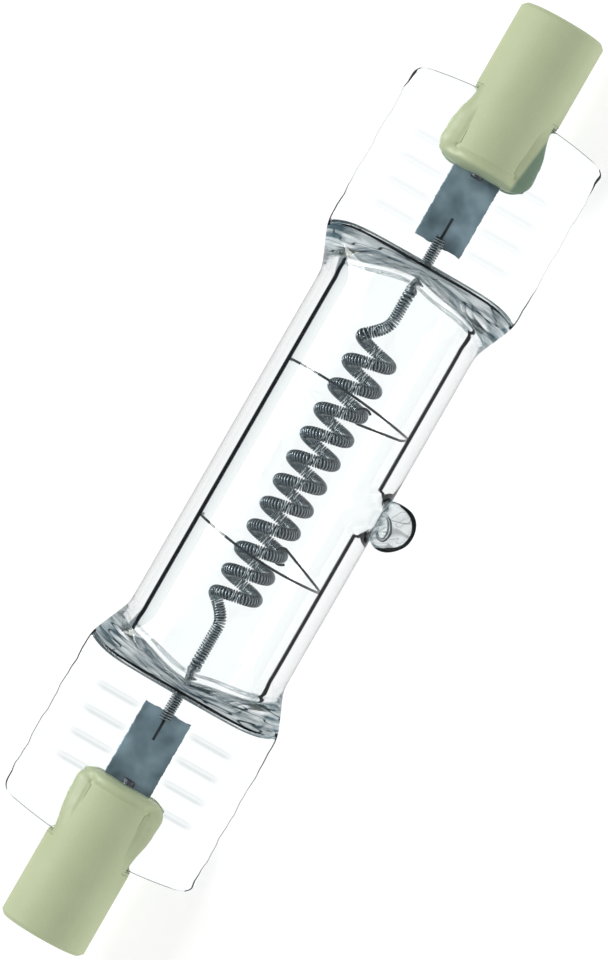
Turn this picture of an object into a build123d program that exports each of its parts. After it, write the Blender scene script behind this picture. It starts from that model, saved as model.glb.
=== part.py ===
from build123d import *
import os
from math import asin, atan2, ceil, cos, degrees, hypot, radians, sin, sqrt

# A double-ended halogen lamp, in millimetres. Its own axis is X, the flats face Z and the exhaust tip points to
# -Y. Both ends are alike, so places along X are measured outwards from the middle, and the other end is a mirror.

# Bases and contacts
lamp_length = 78.3  # between the outer faces of the two bases
base_d = 7.0  # barrel of the recessed-contact base
base_length = 12.55
base_rim = 0.3  # bevel round the outer face
ear_corner_r = 1.5  # rounding of the fork's ears, seen on the flat
ear_draft = 0.1  # the ears are this much slimmer at their ends than the barrel
recess_d = 4.0  # in the outer face
recess_depth = 1.7
contact_d = 3.4  # disc let into the bottom of the recess
contact_thickness = 0.8

# Cement between the fork and the flat
slot_gap = 0.25
filling_inset = 0.2  # below the round of the ears
bead_width = 0.42  # rim that shows round the ears
bead_rise = 0.25  # rim's height above the fork's slot
bead_short = 0.3  # the rim stops this far before the end of the flat

# Quartz tube, pressed flats and shoulders
tube_d = 13.24
tube_wall = 1.17
press_width = 16.0
press_thickness = 3.2
press_length = 13.6  # along the middle of the flat
press_inset = 7.25  # end of the flat inside the base's outer face
press_end_bow = 0.9
press_corner_r = 0.8
press_edge = 0.4  # bevel round both faces
flare_length = 3.2  # the sides widen from tube to flat over this length
flare_setback = 0.7  # and reach full width this far before the flat
flare_r = 2.0  # rounding where they reach it
shoulder_length = 3.3  # the height drops from tube to flat over this length
shoulder_r = 0.9  # rounding at both ends of that slope
jaw_relief = 0.05  # the slope starts this far outside the wall

# Sealed space inside the tube
cavity_setback = 0.7  # its end lies this far before the flat
cavity_shoulder_length = 3.6
cavity_flare = 0.6  # how far its sides follow the shoulder outwards
cavity_flare_length = 2.2
cavity_point = 1.2  # its end stands out this far in the middle
wedge_height = 0.5  # height of the narrow end

# Ribs that the press jaws leave on the flats
rib_count = 4
rib_pitch = 2.0
rib_setback = 2.6  # first rib, measured from the start of the flat
rib_length = 3.8
rib_inner_end = 2.1  # from the axis
rib_width = 0.5
rib_height = 0.08

# Exhaust tip
tip_x = 0.2
tip_d = 3.72
tip_height = 2.69  # above the tube
tip_hollow_mouth_d = 4.0
tip_hollow_end_d = 1.8
tip_hollow_depth = 1.2  # outwards from the inner wall
tip_hollow_overlap = 0.5  # and inwards from it

# Sealing foils and outer leads
foil_width = 3.9
foil_length = 8.6
foil_thickness = 0.05
foil_setback = 1.8  # inner end, measured from the start of the flat
outer_lead_d = 0.96
outer_lead_overlap = 2.9  # length that lies on the foil
lead_clearance = 0.05  # round the lead in the base's drilling
weld_flat = 0.04  # leads are pressed flat this far where they lie on the foil

# All wires
wire_sides = 8
wire_step = 26.0  # largest bend at a joint, in degrees

# Filament and the core wire in its legs
coil_turns = 11
coil_pitch = 2.0
coil_d = 4.0  # over the large turns
coil_shift = 0.5  # the coil's middle lies this far along X
rod_d = 0.97  # over the small turns
bend_length = 2.2  # from the last large turn back to the axis
leg_overlap = 2.2  # length that lies on the foil
core_d = 0.3
core_start = 0.15  # core's inner end, measured from the start of the leg
core_tail = 0.1  # core past the leg's end

# Wire rings that carry the filament
support_wire_d = 0.2
support_clearance = 0.02  # to the tube's inner wall
support_bend_r = 0.4
support_lean = 4.7  # degrees, top towards +X
support_past_top = 15.0  # degrees of ring past the top of the tube
support_turns = {"left": 2, "right": 8}  # large turn that each ring is hooked round, counted from -X
hook_clearance = 0.05
hook_sweep = 230.0  # degrees of hook round the filament

# Places that follow from the sizes above
tube_r = tube_d / 2
bore_r = tube_r - tube_wall
base_face = lamp_length / 2
contact_face = base_face - recess_depth
contact_back = contact_face - contact_thickness
ear_end = base_face - base_length
press_end = base_face - press_inset
press_line = press_end - press_length
cavity_end = press_line - cavity_setback
slot_half = press_thickness / 2 + slot_gap
slot_end = press_end + slot_gap
tip_r = tip_d / 2
tip_centre = tube_r + tip_height - tip_r
rod_r = rod_d / 2
coil_mean_r = (coil_d - rod_d) / 2
coil_start = coil_shift - coil_turns * coil_pitch / 2
coil_end = coil_start + coil_turns * coil_pitch
leg_starts = {"left": bend_length - coil_start, "right": coil_end + bend_length}
foil_start = press_line + foil_setback
foil_end = foil_start + foil_length
leg_end = foil_start + leg_overlap
outer_lead_start = foil_end - outer_lead_overlap
weld_plane = weld_flat - min(rod_d, outer_lead_d) / 2

# The lamp lies with its tube and its tip on the same surface, unless an edge of a flat would touch first
tip_roll = degrees(asin((tube_r - tip_r) / tip_centre))
corner_r = hypot(press_width / 2, press_thickness / 2)
edge_roll = degrees(asin(tube_r / corner_r) - atan2(press_thickness, press_width))
rest_roll = min(tip_roll, edge_roll)


def rod_along_x(radius, start, end):
    """A round rod on the axis between two places along X."""
    centre = Location(((start + end) / 2, 0, 0), (0, 90, 0))
    return centre * Cylinder(radius, end - start)


def slab(start, end, width, bottom, top):
    """A block on the axis, between two places along X and two heights."""
    centre = Location(((start + end) / 2, 0, (bottom + top) / 2))
    return centre * Box(end - start, width, top - bottom)


def both_ends(half):
    """A half of the lamp and its mirror, as one."""
    return half + mirror(half, about=Plane.YZ)


def wire_along_x(radius, start, end):
    """A many-sided wire on the axis between two places along X."""
    section = Plane.YZ.offset(start) * RegularPolygon(radius, wire_sides)
    return extrude(section, amount=end - start)


def wire_along(radius, path, side):
    """A many-sided wire along lines and arcs, in straight spans with mitred joints."""
    points = [path[0] @ 0]
    for edge in path:
        turn = 0 if edge.geom_type == GeomType.LINE else degrees(edge.length / edge.radius)
        spans = ceil(turn / wire_step) or 1
        points += [edge @ ((span + 1) / spans) for span in range(spans)]
    section = Plane(origin=points[0], x_dir=side, z_dir=path[0] % 0) * RegularPolygon(radius, wire_sides)
    return sweep(section, path=Polyline(*points), transition=Transition.RIGHT)


def jaws(wall_r, start, end, end_height):
    """Space between two press jaws: past the wall at first, then closing in one slope with rounded ends."""
    top = wall_r + jaw_relief
    upper = [(0, top), (start, top), (end, end_height), (end + flare_length, end_height)]
    lower = [(x, -z) for x, z in reversed(upper)]
    side = make_face(Polyline(*upper, *lower, close=True))
    columns = side.vertices().group_by(Axis.X)
    return extrude(Plane.XZ * fillet(columns[1] + columns[2], shoulder_r), amount=press_width, both=True)


def tube_half():
    """Round tube with a shoulder that drops to the pressed flat."""
    shoulder = jaws(tube_r, press_line - shoulder_length, press_line, press_thickness / 2)
    return rod_along_x(tube_r, 0, press_line + flare_setback) & shoulder


def cavity_half():
    """The sealed space: bore, widening sides and a pointed wedge at the end."""
    side = bore_r + cavity_flare
    side_end = cavity_end - cavity_point
    flare = side_end - cavity_flare_length
    outline = Polyline((cavity_end, 0), (0, 0), (0, bore_r), (flare, bore_r), (side_end, side), close=True)
    shoulder_end = cavity_end + wedge_height
    shoulder = jaws(bore_r, cavity_end - cavity_shoulder_length, shoulder_end, wedge_height / 2)
    return revolve(make_face(outline), axis=Axis.X) & shoulder


def flat_plan():
    """Outline of one pressed flat, from its root in the tube past the flare to its bowed end."""
    half_width = press_width / 2
    root = press_line - flare_setback - flare_length
    root_half = sqrt(tube_r**2 - (press_thickness / 2) ** 2)
    wide = press_line - flare_setback
    side_end = press_end - press_end_bow
    upper = [(root, root_half), (wide, half_width), (side_end, half_width)]
    lower = [(x, -y) for x, y in reversed(upper)]
    sides = Polyline(*lower, *upper)
    bow = ThreePointArc(upper[-1], (press_end, 0), lower[0])
    plan = make_face(Curve() + [sides, bow])
    columns = plan.vertices().group_by(Axis.X)
    plan = fillet(columns[1], flare_r)
    return fillet(plan.vertices().group_by(Axis.X)[-1], press_corner_r)


def ribs():
    """Low cross ribs on both faces of a flat, on each side of the foil."""
    section = Polyline((-rib_width / 2, 0), (0, rib_height), (rib_width / 2, 0), (0, -rib_height), close=True)
    middle = rib_inner_end + rib_length / 2
    rib = extrude(Plane.XZ * make_face(section), amount=rib_length / 2, both=True)
    places = [
        (press_line + rib_setback + step * rib_pitch, y * middle, z * press_thickness / 2)
        for step in range(rib_count)
        for y in (-1, 1)
        for z in (-1, 1)
    ]
    return [Pos(*place) * rib for place in places]


def flat():
    """One pressed flat with bevelled edges and ribs."""
    plate = extrude(flat_plan(), amount=press_thickness / 2, both=True)
    faces = plate.faces().sort_by(Axis.Z)
    rim = faces[0].edges() + faces[-1].edges()
    root = min(edge.center().X for edge in rim)
    bevelled = [edge for edge in rim if edge.center().X > root + press_edge]
    return chamfer(bevelled, press_edge) + ribs()


def tip():
    """Drop-shaped stub where the tube was drawn off and sealed."""
    neck = Location((tip_x, -(bore_r + tip_centre) / 2, 0), (90, 0, 0)) * Cylinder(tip_r, tip_centre - bore_r)
    return neck + Pos(tip_x, -tip_centre, 0) * Sphere(tip_r)


def tip_hollow():
    """Tapered dimple in the inner wall behind the tip."""
    inner = bore_r - tip_hollow_overlap
    outer = bore_r + tip_hollow_depth
    centre = Location((tip_x, -(inner + outer) / 2, 0), (90, 0, 0))
    return centre * Cone(tip_hollow_mouth_d / 2, tip_hollow_end_d / 2, outer - inner)


def weld_cut():
    """What is pressed off the leads where they lie on the foil."""
    return slab(foil_start, foil_end, foil_width, weld_plane - rod_d, weld_plane)


def foil():
    """Thin sealing foil under the two leads."""
    return slab(foil_start, foil_end, foil_width, weld_plane - foil_thickness, weld_plane)


def outer_lead():
    """Wire from the foil to the back of the contact."""
    return wire_along_x(outer_lead_d / 2, outer_lead_start, contact_back) - weld_cut()


def leg(inner_end):
    """Straight end of the filament, on the axis as far as the foil."""
    return wire_along_x(rod_r, inner_end, leg_end) - weld_cut()


def core(inner_end):
    """Thin core wire inside a leg."""
    return wire_along_x(core_d / 2, inner_end + core_start, leg_end + core_tail)


def glass_outside():
    """Outer form of tube, flats and tip, with nothing inside."""
    return both_ends(tube_half() + flat()) + tip()


def envelope(outside):
    """The quartz in one piece, hollow and closed round the leads."""
    hollow = both_ends(cavity_half()) + tip_hollow()
    inside = cavity_end - cavity_point
    embedded = foil() + outer_lead() + leg(inside) + core(inside)
    return outside - hollow - both_ends(embedded)


def bend(start, start_way, end, end_way):
    """Two tangent arcs from one point and direction to another."""
    span = Vector(*end) - Vector(*start)
    ways = Vector(*start_way) + Vector(*end_way)
    lean = span.dot(ways)
    room = ways.dot(ways) - 4
    reach = (lean - sqrt(lean**2 - room * span.dot(span))) / room
    middle = Vector(*start) + span / 2 + (Vector(*start_way) - Vector(*end_way)) * (reach / 2)
    first = TangentArc(start, middle, tangent=start_way)
    return [first, TangentArc(middle, end, tangent=first % 1)]


def half_turns():
    """The coil's large turns as leaning half circles: in front of the axis going down, behind it going up."""
    half_pitch = coil_pitch / 2
    bow = hypot(coil_mean_r, half_pitch / 2)
    arcs = []
    for step in range(2 * coil_turns):
        x = coil_start + step * half_pitch
        side = 1 if step % 2 == 0 else -1
        start = (x, side * coil_mean_r, 0)
        middle = (x + half_pitch / 2, 0, side * bow)
        end = (x + half_pitch, -side * coil_mean_r, 0)
        arcs.append(ThreePointArc(start, middle, end))
    return arcs


def coil():
    """Large turns of the filament with a bend back to the axis at each end."""
    along, front = (1, 0, 0), (0, 0, 1)
    first = (-leg_starts["left"], 0, 0)
    last = (leg_starts["right"], 0, 0)
    path = [
        *bend(first, along, (coil_start, coil_mean_r, 0), front),
        *half_turns(),
        *bend((coil_end, coil_mean_r, 0), front, last, along),
    ]
    return wire_along(rod_r, path, (0, 1, 0))


def filament():
    """Coil and both legs, hollow where the core wires go in."""
    left, right = (leg(start) - core(start) for start in leg_starts.values())
    return coil() + mirror(left, about=Plane.YZ) + right


def support_ring(turn):
    """Wire along the front of the inner wall, bent in at the bottom and hooked round one turn of the filament."""
    wire_r = support_wire_d / 2
    ring_r = bore_r - support_clearance - wire_r
    hook_r = rod_r + hook_clearance + wire_r
    lean = radians(support_lean)
    # The bend ends straight below the axis, so its start lies a little towards the front
    bend_centre = ring_r - support_bend_r
    front = asin(support_bend_r / bend_centre)
    bend_foot = -bend_centre * cos(front)
    past_top = radians(support_past_top)
    ring_start = (0, ring_r * cos(past_top), -ring_r * sin(past_top))
    ring_end = (0, -ring_r * cos(front), ring_r * sin(front))
    wall = ThreePointArc(ring_start, (0, 0, ring_r), ring_end)
    turn_in = TangentArc(ring_end, (0, bend_foot, 0), tangent=wall % 1)
    # The ring leans about Z, and the hook's centre then lies on the filament's rod
    hook_y = (hook_r * sin(lean) - coil_mean_r) / cos(lean)
    arm = Line((0, bend_foot, 0), (0, hook_y, 0))
    hook_plane = Plane(origin=(hook_r, hook_y, 0), x_dir=(-1, 0, 0), z_dir=(0, 0, -1))
    hook = hook_plane * CenterArc((0, 0), hook_r, 0, hook_sweep)
    ring = wire_along(wire_r, [wall, turn_in, arm, hook.edge()], (1, 0, 0))
    turn_x = coil_start + (turn + 0.5) * coil_pitch
    ring_x = turn_x - hook_r * cos(lean) - hook_y * sin(lean)
    return Location((ring_x, 0, 0), (0, 0, -support_lean)) * ring


def contact():
    """Contact disc, flush with the bottom of the recess and welded to the lead."""
    return rod_along_x(contact_d / 2, contact_back, contact_face)


def ceramic_base():
    """Round barrel with a fork for the flat, a drilling for the lead, and a recess with a seat for the contact."""
    base_r = base_d / 2
    outline = Polyline(
        (ear_end, 0),
        (ear_end, base_r - ear_draft),
        (slot_end, base_r),
        (base_face - base_rim, base_r),
        (base_face, base_r - base_rim),
        (base_face, 0),
        close=True,
    )
    barrel = revolve(make_face(outline), axis=Axis.X)
    plan = Pos((ear_end + base_face) / 2, 0) * Rectangle(base_length, base_d)
    plan = fillet(plan.vertices().group_by(Axis.X)[0], ear_corner_r)
    body = barrel & extrude(plan, amount=base_d, both=True)
    slot = slab(ear_end - base_d, slot_end, 2 * base_d, -slot_half, slot_half)
    recess = rod_along_x(recess_d / 2, contact_face, base_face + base_d)
    drilling = wire_along_x(outer_lead_d / 2 + lead_clearance, slot_end - slot_gap, contact_back + slot_gap)
    return body - slot - drilling - recess - contact()


def cement(outside, base):
    """Cement that fills the fork round the flat and stands as a low rim round the ears."""
    rim_half = base_d / 2 + bead_width
    start = ear_end - bead_width
    end = press_end - bead_short
    plan = Pos((start + end) / 2, 0) * Rectangle(end - start, 2 * rim_half)
    plan = fillet(plan.vertices().group_by(Axis.X)[0], ear_corner_r + bead_width)
    rim = extrude(plan, amount=slot_half + bead_rise, both=True)
    filling = rod_along_x(base_d / 2 - filling_inset, ear_end, slot_end)
    filling &= slab(ear_end, slot_end, base_d, -slot_half, slot_half)
    return rim + filling - outside - base - outer_lead()


def save(name, shape):
    """Lays one piece down as the lamp rests, and writes it."""
    export_step(Rot(rest_roll, 0, 0) * shape, f"parts/{name}.step")


os.makedirs("parts", exist_ok=True)
outside = glass_outside()
base = ceramic_base()
save("quartz_envelope", envelope(outside))
save("filament", filament())
right_end = {
    "ceramic_base": base,
    "cement": cement(outside, base),
    "contact": contact(),
    "outer_lead": outer_lead(),
    "foil": foil(),
}
for name, piece in right_end.items():
    save(name + "_right", piece)
    save(name + "_left", mirror(piece, about=Plane.YZ))
save("inner_lead_right", core(leg_starts["right"]))
save("inner_lead_left", mirror(core(leg_starts["left"]), about=Plane.YZ))
for side, turn in support_turns.items():
    save("support_ring_" + side, support_ring(turn))
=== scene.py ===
from math import asin, cos, pi, radians, sin

import bmesh
import bpy
import numpy as np
from mathutils import Matrix, Vector


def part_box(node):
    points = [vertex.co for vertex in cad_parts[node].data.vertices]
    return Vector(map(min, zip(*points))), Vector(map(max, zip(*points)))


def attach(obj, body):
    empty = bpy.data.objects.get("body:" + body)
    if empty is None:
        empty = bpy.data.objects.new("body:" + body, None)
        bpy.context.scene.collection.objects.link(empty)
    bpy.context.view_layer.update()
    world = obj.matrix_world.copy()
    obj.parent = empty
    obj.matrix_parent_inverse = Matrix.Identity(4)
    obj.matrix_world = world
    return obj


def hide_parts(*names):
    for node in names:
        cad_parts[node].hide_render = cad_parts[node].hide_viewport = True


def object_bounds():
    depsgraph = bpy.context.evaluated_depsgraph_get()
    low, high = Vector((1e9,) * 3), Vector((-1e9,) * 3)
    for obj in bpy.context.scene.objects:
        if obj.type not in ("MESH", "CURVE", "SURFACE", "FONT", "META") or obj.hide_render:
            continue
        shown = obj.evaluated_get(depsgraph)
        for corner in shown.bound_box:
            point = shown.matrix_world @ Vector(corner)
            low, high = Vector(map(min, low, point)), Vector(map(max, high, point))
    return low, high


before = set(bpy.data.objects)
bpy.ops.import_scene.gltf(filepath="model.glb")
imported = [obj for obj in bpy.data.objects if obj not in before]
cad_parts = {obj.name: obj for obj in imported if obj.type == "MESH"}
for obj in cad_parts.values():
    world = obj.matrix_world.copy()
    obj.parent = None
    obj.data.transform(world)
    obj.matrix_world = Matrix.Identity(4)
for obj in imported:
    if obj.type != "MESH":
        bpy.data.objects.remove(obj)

cad_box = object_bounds()

# The lamp's own axes, in millimetres: X along the lamp, the flats face Z and the exhaust tip points to -Y.
# Both ends are alike, so places along X are measured outwards from the middle.
MM = 0.001
SIDES = {"left": -1, "right": 1}

# Sizes that the frame gives
TUBE_R = -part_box("quartz_envelope")[0].z / MM
PRESS_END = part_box("quartz_envelope")[1].x / MM
EAR_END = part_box("ceramic_base_right")[0].x / MM
CONTACT_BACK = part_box("contact_right")[0].x / MM
CONTACT_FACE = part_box("contact_right")[1].x / MM
FOIL_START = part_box("foil_right")[0].x / MM
FOIL_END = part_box("foil_right")[1].x / MM
OUTER_LEAD_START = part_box("outer_lead_right")[0].x / MM
CORE_STARTS = {"left": -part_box("inner_lead_left")[1].x / MM, "right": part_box("inner_lead_right")[0].x / MM}
CORE_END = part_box("inner_lead_right")[1].x / MM

# Tube, flats and shoulders
BORE_R = 5.45
FLAT_HALF = 8.0
FLAT_THICK = 3.2
FLAT_EDGE_R = 0.45
FLAT_CORNER_R = 0.8
FLAT_BOW = 0.9
FLAT_BOW_START = 27.4
FLAT_LINE = 18.3
FLAT_SWELL = 0.02
FLARE = (14.4, 17.6)
SHOULDER = (13.4, FLAT_LINE)
SHOULDER_CURVE = 5.8
SHOULDER_SETBACK = 0.9
SETBACK_CURVE = 7
CAVITY_START = 13.4
CAVITY_CURVE = 12.0
CAVITY_FLARE = 14.4
CAVITY_CORNER = (16.6, 6.0)
CAVITY_END = 17.55
WEDGE_HALF = 0.1
FOLD_PITCH = 0.62
FOLD_DEPTH = 0.02
RIBS = (20.7, 22.7, 24.7, 26.7)
RIB_SPAN = (2.1, 5.9)
RIB_FADE = (0.5, 0.7)
RIB_WIDTH = 0.17
RIB_HEIGHT = 0.07
# How tightly the ends of a ramp are rounded
FLARE_FIRM = 14
DROP_FIRM = 11
# Sine waves, each with its height, radians a millimetre and shift
SIDE_WAVES = ((0.04, 1.7, 2), (0.025, 4.3, 1))
FOIL_EDGE_WAVES = ((0.012, 7.1, 0), (0.012, 17.3, 1), (0.01, 31, 2))
COLLAR_WAVES = ((0.07, 1.1, 1), (0.04, 2.7, 2))

# Exhaust tip outside, and the funnel and bubble inside it
TIP_X = 0.2
TIP_R = 1.86
TIP_CENTRE = 7.45
TIP_FOOT_R = 2.05
TIP_FOOT_CURVE = 1.4
TIP_WAIST = radians(119)
TIP_BALL_SHARE = 0.8
TIP_LUMPS = (0.03, 0.05)
TIP_REGION = 4.0
FUNNEL_R = 2.3
FUNNEL_REACH = 1.75
FUNNEL_DEPTH = 1.15
FUNNEL_CURVE = 1.7
POCKET_R = 0.6
POCKET_CENTRE = 0.5
POCKET_MOUTH = 1.0
POCKET_WAIST = radians(130)
POCKET_BALL_SHARE = 0.75
POCKET_LUMPS = 0.12
POCKET_LEAN = 0.5

# Steps of the glass grids: round the edges (60 degrees of the tube each) and faces, and along X
EDGE_ARC = 60
EDGE_STEPS = {1: 20, -1: 88}
FACE_STEPS = 44
BORE_FINE = 26
BORE_STEPS = (64, 84)
WEDGE_STEPS = 46
FINE_HALF = 2.4
OUTER_FINE = 0.06
INNER_FINE = 0.075
OUTER_SPANS = ((FINE_HALF, SHOULDER[0], 10), (SHOULDER[0], 16, 14), (16, 19, 40), (19, 20.4, 3))
RIB_REACH = 0.5
END_SPAN = (27.6, PRESS_END - 1.0, 8)

# Slant, from 0 facing the eye to 1 edge-on, from which the glass is painted dark, as shade of its dark
# surroundings
TUBE_DARK = 1.2
TIP_DARK = 0.46
FLAT_DARK = 0.4
END_DARK = 0.7
BORE_DARK = 0.76
POCKET_DARK = 0.34
FOLD_DARK = 0.88
FOOT_DARK = 0.45
FOOT_WIDTH = 0.3
LINE_SOFT = 0.1
# How much later the line on the flat's side sets in halfway along, and sooner in a dash near its end.
# Each change has its distance from the shoulder's line or the flat's end, and its length.
FLAT_FADE = {"left": 0.16, "right": 0.42}
FADE_FROM = (1.0, 3.0)
FADE_TO = (1.6, 1.5)
DASH_DARK = {"left": 0.06, "right": 0.26}
DASH_FROM = (3.2, 0.5)
DASH_TO = (1.2, 0.3)
# How grey the glass is at the press's ribs and the tip
RIB_VEIL = {"left": 0.42, "right": 0.14}
TIP_VEIL = 0.14
# How strongly the light and shade of its folds are painted on the glass where it was folded or melted:
# shoulder's corners, its band, just inside it, tip
CORNER_FOLD_PAINT = 0.75
FOLD_PAINT_CORNER = (15.2, 5.9)
BAND_FOLD_PAINT = 0.72
INSIDE_FOLD_PAINT = 0.25
TIP_FOLD_PAINT = 0.17
TIP_FOOT_FOLD_PAINT = 0.6
FOLDS_OVER_BAND = 3.5
FOLD_LENGTH = 2.8
TIP_FOLD = 0.7
# Slant, and how far from it, at which a dark line is painted on the bore, as shade where light inside the wall
# is trapped
BORE_LINE_PAINT = (0.2685, 0.0135, 0.0215)

# Filament and wires
COIL_TURNS = 11
COIL_PITCH = 2.0
COIL_START = -10.5
COIL_R = 1.515
COIL_SAG = 0.42
BEND_LENGTH = 2.2
BEND_WAYS = ((3.4, 0, 0), (0.9, 0, 3.4))
ROD_R = 0.485
STRAND_R = 0.071
STRAND_PITCH = 0.215
LEG_PITCH = 0.2
STRAND_END = 20.7
STRAND_STEPS = 18
STRAND_SIDES = 7
CORE_R = 0.15
OUTER_LEAD_R = 0.48
LEAD_ROUNDING = 0.3
RING_WIRE_R = 0.1
RING_TURNS = {"left": 2, "right": 8}
RING_WALL_X = {"left": (-5.9, -6.8, -6.67), "right": (7.3, 7.15, 6.37)}
RING_WALL_GAP = 0.02
RING_ARM_X = {"left": -6.45, "right": 6.1}
RING_HOOK_SIDE = {"left": 1, "right": -1}
RING_PAST_TOP = radians(4)
RING_BEND_R = 0.4
HOOK_SWEEP = radians(230)
HOOK_GAP = 0.05

# Foil, cement, contact and bases
FOIL_HALF = 1.95
FOIL_Z = -0.465
FOIL_HALF_THICK = 0.02
FOIL_RIM = 0.004
BASE_R = 3.5
SLOT_HALF = 1.85
EAR_HALF = (BASE_R**2 - SLOT_HALF**2) ** 0.5
EAR_FOOT_R = 0.85
BASE_EDGE = 0.16
CEMENT_Z = FLAT_THICK / 2 + 0.004
COLLAR_SIDE = {"left": 0.62, "right": 0.84}
COLLAR_FRONT = {"left": 0.4, "right": 0.6}
COLLAR_PAST_END = 0.2
COLLAR_END = 0.16
COLLAR_TAPER = 3.4
COLLAR_INSET = 0.6
COLLAR_SKIN = (-0.07, 0.015)
COLLAR_RISE = 0.3
COLLAR_EDGE = 0.1
COLLAR_EDGE_CURVE = 2.2
COLLAR_CORNER = 0.1
COLLAR_FROM = radians(48)
FILLING_INSET = 0.2
END_WALL = (PRESS_END + 0.01, PRESS_END + 0.25)
END_WALL_R = BASE_R - 0.03
# Painted shade on the right end's cement: its line across the lamp from the flat's end to the ear's front, its
# share in front of the ear, its softness
SHADE_LINE = (3.25, 2.55)
SHADE_FRONT = 0.4
SHADE_SOFT = 0.3
CONTACT_R = 1.7
CONTACT_RIM_R = 0.15
CONTACT_DOME = 0.1

# The lamp lies on its tube and its tip
ROLL = asin((TUBE_R - TIP_R) / TIP_CENTRE)
LAMP = Matrix.Rotation(ROLL, 3, "X")
TURN = np.array(LAMP)

# The photograph's view, in metres: square to the flats, with the lamp's axis 60 degrees from the level
AXIS_LEAN = radians(60.1)
VIEW_DISTANCE = 0.39
VIEW_ASIDE = 0.11 * MM
LENS = 196.1
VIEW_RIGHT = LAMP @ Vector((cos(AXIS_LEAN), -sin(AXIS_LEAN), 0))
VIEW_UP = LAMP @ Vector((sin(AXIS_LEAN), cos(AXIS_LEAN), 0))
VIEW_BACK = LAMP @ Vector((0, 0, 1))
# Soft lights: place to the right, up and towards the viewer, size in metres, power in watts
LIGHTS = {"key": ((-0.5, 0.29, 0.2), 0.25, 2.15), "fill": ((0.3, -0.1, 0.5), 0.4, 0.25)}
FLOOR_HALF = 2.0
CARD_R = 170 * MM


def linear(hex_colour):
    """An sRGB hex colour as linear red, green, blue and alpha."""
    value = np.array([int(hex_colour[i:i + 2], 16) for i in (0, 2, 4)]) / 255
    value = np.where(value <= 0.04045, value / 12.92, ((value + 0.055) / 1.055) ** 2.4)
    return (*value, 1.0)


def soft_ramp(t, firm):
    """0 below 0 and 1 above 1, straight between, with rounded corners: the difference of two soft hinges."""
    return (np.logaddexp(0, firm * t) - np.logaddexp(0, firm * (t - 1))) / firm


def smooth(t):
    """A cubic step from 0 to 1."""
    t = np.clip(t, 0, 1)
    return t * t * (3 - 2 * t)


def waves(table, x, phase=1):
    """A sum of sine waves along x, each with its height, rate and shift. The phase multiplies the shifts."""
    return sum(height * np.sin(rate * x + shift * phase) for height, rate, shift in table)


def unit(vectors):
    """Vectors scaled to length 1."""
    return vectors / np.linalg.norm(vectors, axis=-1, keepdims=True)


def places(x, y, z):
    """Points from x, y and z, each a number or an array."""
    return np.stack(np.broadcast_arrays(x, y, z), axis=-1)


def columns(points):
    """All x, all y and all z of points in any array."""
    return np.moveaxis(points.reshape(-1, 3), -1, 0)


def by_side(x, values):
    """The left end's value where x is negative, the right end's elsewhere."""
    return np.where(x < 0, values["left"], values["right"])


def run_along(path):
    """Length along a path up to each of its points."""
    return np.concatenate([[0], np.cumsum(np.linalg.norm(np.diff(path, axis=0), axis=1))])


def grid(rings, hollow=False):
    """Points and quads of closed rings, one after another. Faces point out of a solid, or into a hollow."""
    rows, count = rings.shape[:2]
    index = np.arange(rows * count).reshape(rows, count)
    after = np.roll(index, -1, axis=1)
    quads = np.stack([index[:-1], after[:-1], after[1:], index[1:]], axis=-1).reshape(-1, 4)
    points = rings.reshape(-1, 3)
    a, b, c, d = (points[quads[:, i]] for i in range(4))
    volume = np.sum(a * np.cross(b, c)) + np.sum(a * np.cross(c, d))
    if (volume > 0) == hollow:
        quads = quads[:, ::-1]
    return points, quads


def new_object(name, data):
    """A new object in the scene."""
    made = bpy.data.objects.new(name, data)
    bpy.context.collection.objects.link(made)
    return made


def place_piece(made, material, slot, *nodes):
    """Gives a piece its material and its place in the frame."""
    made.data.materials.clear()
    made.data.materials.append(material)
    made.data.shade_smooth()
    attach(made, "root")
    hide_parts(*nodes)


def weld(mesh, distance):
    """Joins points of a mesh that are closer than a distance in metres."""
    body = bmesh.new()
    body.from_mesh(mesh)
    bmesh.ops.remove_doubles(body, verts=body.verts, dist=distance)
    body.to_mesh(mesh)
    body.free()


def piece(name, shells, material, slot, *nodes, **marks):
    """One mesh from several grids in lamp millimetres, welded where rings close, in the frame's metres.

    A mark is a number kept at each point for the material to read.
    """
    counts = np.cumsum([0] + [len(points) for points, _ in shells])
    points = np.concatenate([points for points, _ in shells]) @ TURN.T * MM
    quads = np.concatenate([quads + count for (_, quads), count in zip(shells, counts)])
    mesh = bpy.data.meshes.new(name)
    mesh.vertices.add(len(points))
    mesh.vertices.foreach_set("co", points.astype(np.float32).ravel())
    mesh.loops.add(quads.size)
    mesh.loops.foreach_set("vertex_index", quads.astype(np.int32).ravel())
    mesh.polygons.add(len(quads))
    mesh.polygons.foreach_set("loop_start", np.arange(0, quads.size, 4, dtype=np.int32))
    mesh.update(calc_edges=True)
    for mark, values in marks.items():
        mesh.attributes.new(mark, "FLOAT", "POINT").data.foreach_set("value", values.astype(np.float32))
    weld(mesh, 1e-7)
    place_piece(new_object(name, mesh), material, slot, *nodes)


def revolved(profile, steps=64):
    """Rings about X from (x, radius) pairs."""
    x, r = np.array(profile, float).T[..., None]
    angle = np.linspace(0, 2 * pi, steps, endpoint=False)
    return places(x, r * np.cos(angle), r * np.sin(angle))


def wire(path, radius, across, up, sides):
    """A round wire along points: circles in the plane of two directions, closed to a point at both ends."""
    angle = np.linspace(0, 2 * pi, sides, endpoint=False)[:, None]
    rings = path[:, None] + radius * (np.cos(angle) * across[:, None] + np.sin(angle) * up[:, None])
    return np.concatenate([path[:1, None] + 0 * rings[:1], rings, path[-1:, None] + 0 * rings[-1:]])


def square_to(path, lean):
    """Two directions square to a path. The first leans to a direction that the path never takes."""
    way = unit(np.gradient(path, axis=0))
    across = unit(lean - (way @ lean)[:, None] * way)
    return across, np.cross(way, across)


# Quartz envelope


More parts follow.
